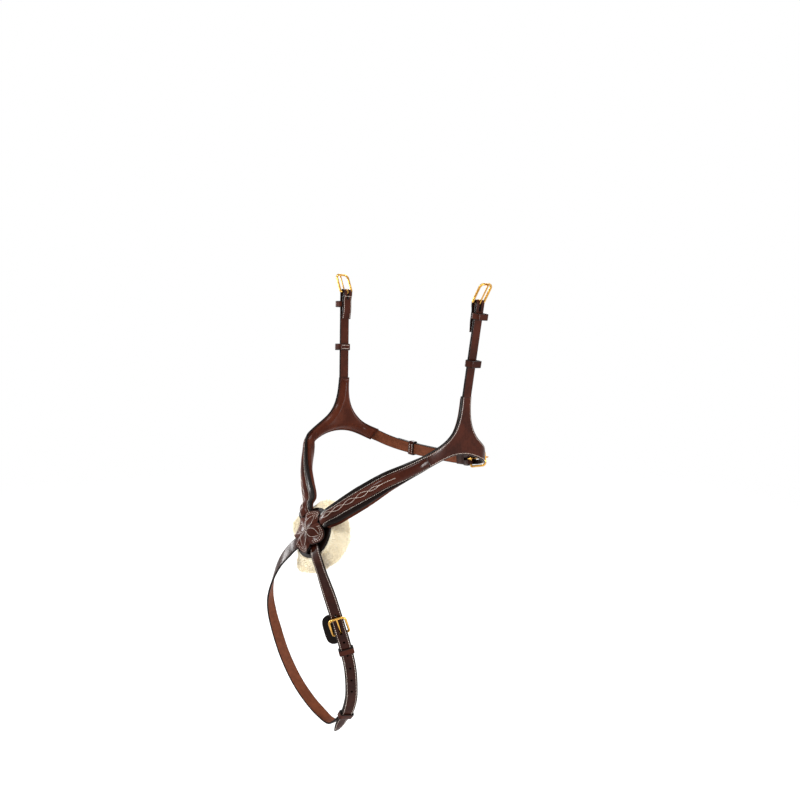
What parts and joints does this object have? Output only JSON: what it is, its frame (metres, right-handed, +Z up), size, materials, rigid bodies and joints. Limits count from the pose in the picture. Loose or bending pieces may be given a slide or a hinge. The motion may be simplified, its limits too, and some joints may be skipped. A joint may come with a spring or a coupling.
{
  "type": "figure eight noseband",
  "caption": "Padded leather noseband of two straps crossing at a fleece-backed rosette, with buckled cheek, jaw and chin straps, worn round a horse's nose and chin.",
  "frame": {"origin": "midway between the two cheek buckle bars that the noseband hangs from", "axes": "+Z up, -Y forward towards the horse's nose, +X the horse's near (left) side"},
  "size_m": [0.2274, 0.2056, 0.4832],
  "materials": {
    "chin_buckle_frame": "polished",
    "chin_buckle_tongue": "polished",
    "chin_guard": "waxed, glossy",
    "chin_keeper": "waxed, glossy",
    "chin_runner": "waxed, glossy",
    "fleece_pad": "fleece, matte",
    "jaw_billet": "waxed, glossy",
    "jaw_buckle_frame": "polished",
    "jaw_buckle_tongue": "polished",
    "jaw_keeper": "waxed, glossy",
    "jaw_runner": "waxed, glossy",
    "jaw_strap": "waxed, glossy",
    "near_cheek_buckle_frame": "polished",
    "near_cheek_buckle_tongue": "polished",
    "near_cheek_keeper": "waxed, glossy",
    "near_cheek_runner": "waxed, glossy",
    "near_cheek_strap": "waxed, glossy",
    "near_chin_billet": "waxed, glossy",
    "near_nose_lining": "soft, satin",
    "near_nose_padding": "matte",
    "near_nose_strap": "waxed, glossy",
    "near_raised_strip": "waxed, glossy",
    "near_side_lining": "soft, satin",
    "near_side_padding": "matte",
    "near_side_piece": "waxed, glossy",
    "off_cheek_buckle_frame": "polished",
    "off_cheek_buckle_tongue": "polished",
    "off_cheek_keeper": "waxed, glossy",
    "off_cheek_runner": "waxed, glossy",
    "off_cheek_strap": "waxed, glossy",
    "off_chin_strap": "waxed, glossy",
    "off_nose_lining": "soft, satin",
    "off_nose_padding": "matte",
    "off_nose_strap": "waxed, glossy",
    "off_raised_strip": "waxed, glossy",
    "off_side_lining": "soft, satin",
    "off_side_padding": "matte",
    "off_side_piece": "waxed, glossy",
    "rosette_base": "waxed, glossy",
    "rosette_cover": "waxed, glossy"
  },
  "bodies": {
    "strapwork": {"chin_guard": "chin_guard", "chin_keeper": "chin_keeper", "fleece_pad": "fleece_pad", "jaw_billet": "jaw_billet", "jaw_keeper": "jaw_keeper", "jaw_strap": "jaw_strap", "near_cheek_keeper": "near_cheek_keeper", "near_cheek_strap": "near_cheek_strap", "near_chin_billet": "near_chin_billet", "near_nose_lining": "near_nose_lining", "near_nose_padding": "near_nose_padding", "near_nose_strap": "near_nose_strap", "near_raised_strip": "near_raised_strip", "near_side_lining": "near_side_lining", "near_side_padding": "near_side_padding", "near_side_piece": "near_side_piece", "off_cheek_keeper": "off_cheek_keeper", "off_cheek_strap": "off_cheek_strap", "off_chin_strap": "off_chin_strap", "off_nose_lining": "off_nose_lining", "off_nose_padding": "off_nose_padding", "off_nose_strap": "off_nose_strap", "off_raised_strip": "off_raised_strip", "off_side_lining": "off_side_lining", "off_side_padding": "off_side_padding", "off_side_piece": "off_side_piece", "rosette_base": "rosette_base", "rosette_cover": "rosette_cover"},
    "near_cheek_frame": {"near_cheek_buckle_frame": "near_cheek_buckle_frame"},
    "near_cheek_tongue": {"near_cheek_buckle_tongue": "near_cheek_buckle_tongue"},
    "near_cheek_runner_loop": {"near_cheek_runner": "near_cheek_runner"},
    "off_cheek_frame": {"off_cheek_buckle_frame": "off_cheek_buckle_frame"},
    "off_cheek_tongue": {"off_cheek_buckle_tongue": "off_cheek_buckle_tongue"},
    "off_cheek_runner_loop": {"off_cheek_runner": "off_cheek_runner"},
    "jaw_frame": {"jaw_buckle_frame": "jaw_buckle_frame"},
    "jaw_tongue": {"jaw_buckle_tongue": "jaw_buckle_tongue"},
    "jaw_runner_loop": {"jaw_runner": "jaw_runner"},
    "chin_frame": {"chin_buckle_frame": "chin_buckle_frame"},
    "chin_tongue": {"chin_buckle_tongue": "chin_buckle_tongue"},
    "chin_runner_loop": {"chin_runner": "chin_runner"}
  },
  "joints": [
    {"name": "near_cheek_frame_turn", "type": "hinge", "parent": "strapwork", "child": "near_cheek_frame", "pos_m": [0.1, 0.00001, 0.00007], "axis": [0, 0.9947, -0.1025], "range_deg": [-40, 25]},
    {"name": "near_cheek_tongue_lift", "type": "hinge", "parent": "near_cheek_frame", "child": "near_cheek_tongue", "pos_m": [0.1, 0.00001, 0.00007], "axis": [0, 0.9947, -0.1025], "range_deg": [0, 75]},
    {"name": "near_cheek_runner_slide", "type": "slide", "parent": "strapwork", "child": "near_cheek_runner_loop", "axis": [0.0839, 0.1022, 0.9912], "range_m": [-0.025, 0.035]},
    {"name": "off_cheek_frame_turn", "type": "hinge", "parent": "strapwork", "child": "off_cheek_frame", "pos_m": [-0.1, 0.00001, 0.00007], "axis": [0, -0.9947, 0.1025], "range_deg": [-40, 25]},
    {"name": "off_cheek_tongue_lift", "type": "hinge", "parent": "off_cheek_frame", "child": "off_cheek_tongue", "pos_m": [-0.1, 0.00001, 0.00007], "axis": [0, -0.9947, 0.1025], "range_deg": [0, 75]},
    {"name": "off_cheek_runner_slide", "type": "slide", "parent": "strapwork", "child": "off_cheek_runner_loop", "axis": [-0.0839, 0.1022, 0.9912], "range_m": [-0.025, 0.035]},
    {"name": "jaw_frame_turn", "type": "hinge", "parent": "strapwork", "child": "jaw_frame", "pos_m": [0.0607, 0.03537, -0.17541], "axis": [-0.23, 0.0926, 0.9688], "range_deg": [0, 2]},
    {"name": "jaw_tongue_lift", "type": "hinge", "parent": "jaw_frame", "child": "jaw_tongue", "pos_m": [0.0607, 0.03537, -0.17541], "axis": [-0.23, 0.0926, 0.9688], "range_deg": [0, 3]},
    {"name": "jaw_runner_slide", "type": "slide", "parent": "strapwork", "child": "jaw_runner_loop", "axis": [0.9917, 0.0961, -0.0854], "range_m": [-0.003, 0.003]},
    {"name": "chin_frame_turn", "type": "hinge", "parent": "strapwork", "child": "chin_frame", "pos_m": [0.03458, -0.13301, -0.33702], "axis": [0.6073, 0.7453, 0.2752], "range_deg": [0, 2]},
    {"name": "chin_tongue_lift", "type": "hinge", "parent": "chin_frame", "child": "chin_tongue", "pos_m": [0.03458, -0.13301, -0.33702], "axis": [0.6073, 0.7453, 0.2752], "range_deg": [0, 3]},
    {"name": "chin_runner_slide", "type": "slide", "parent": "strapwork", "child": "chin_runner_loop", "axis": [0.5993, -0.0245, 0.8001], "range_m": [-0.0015, 0.0015]}
  ]
}
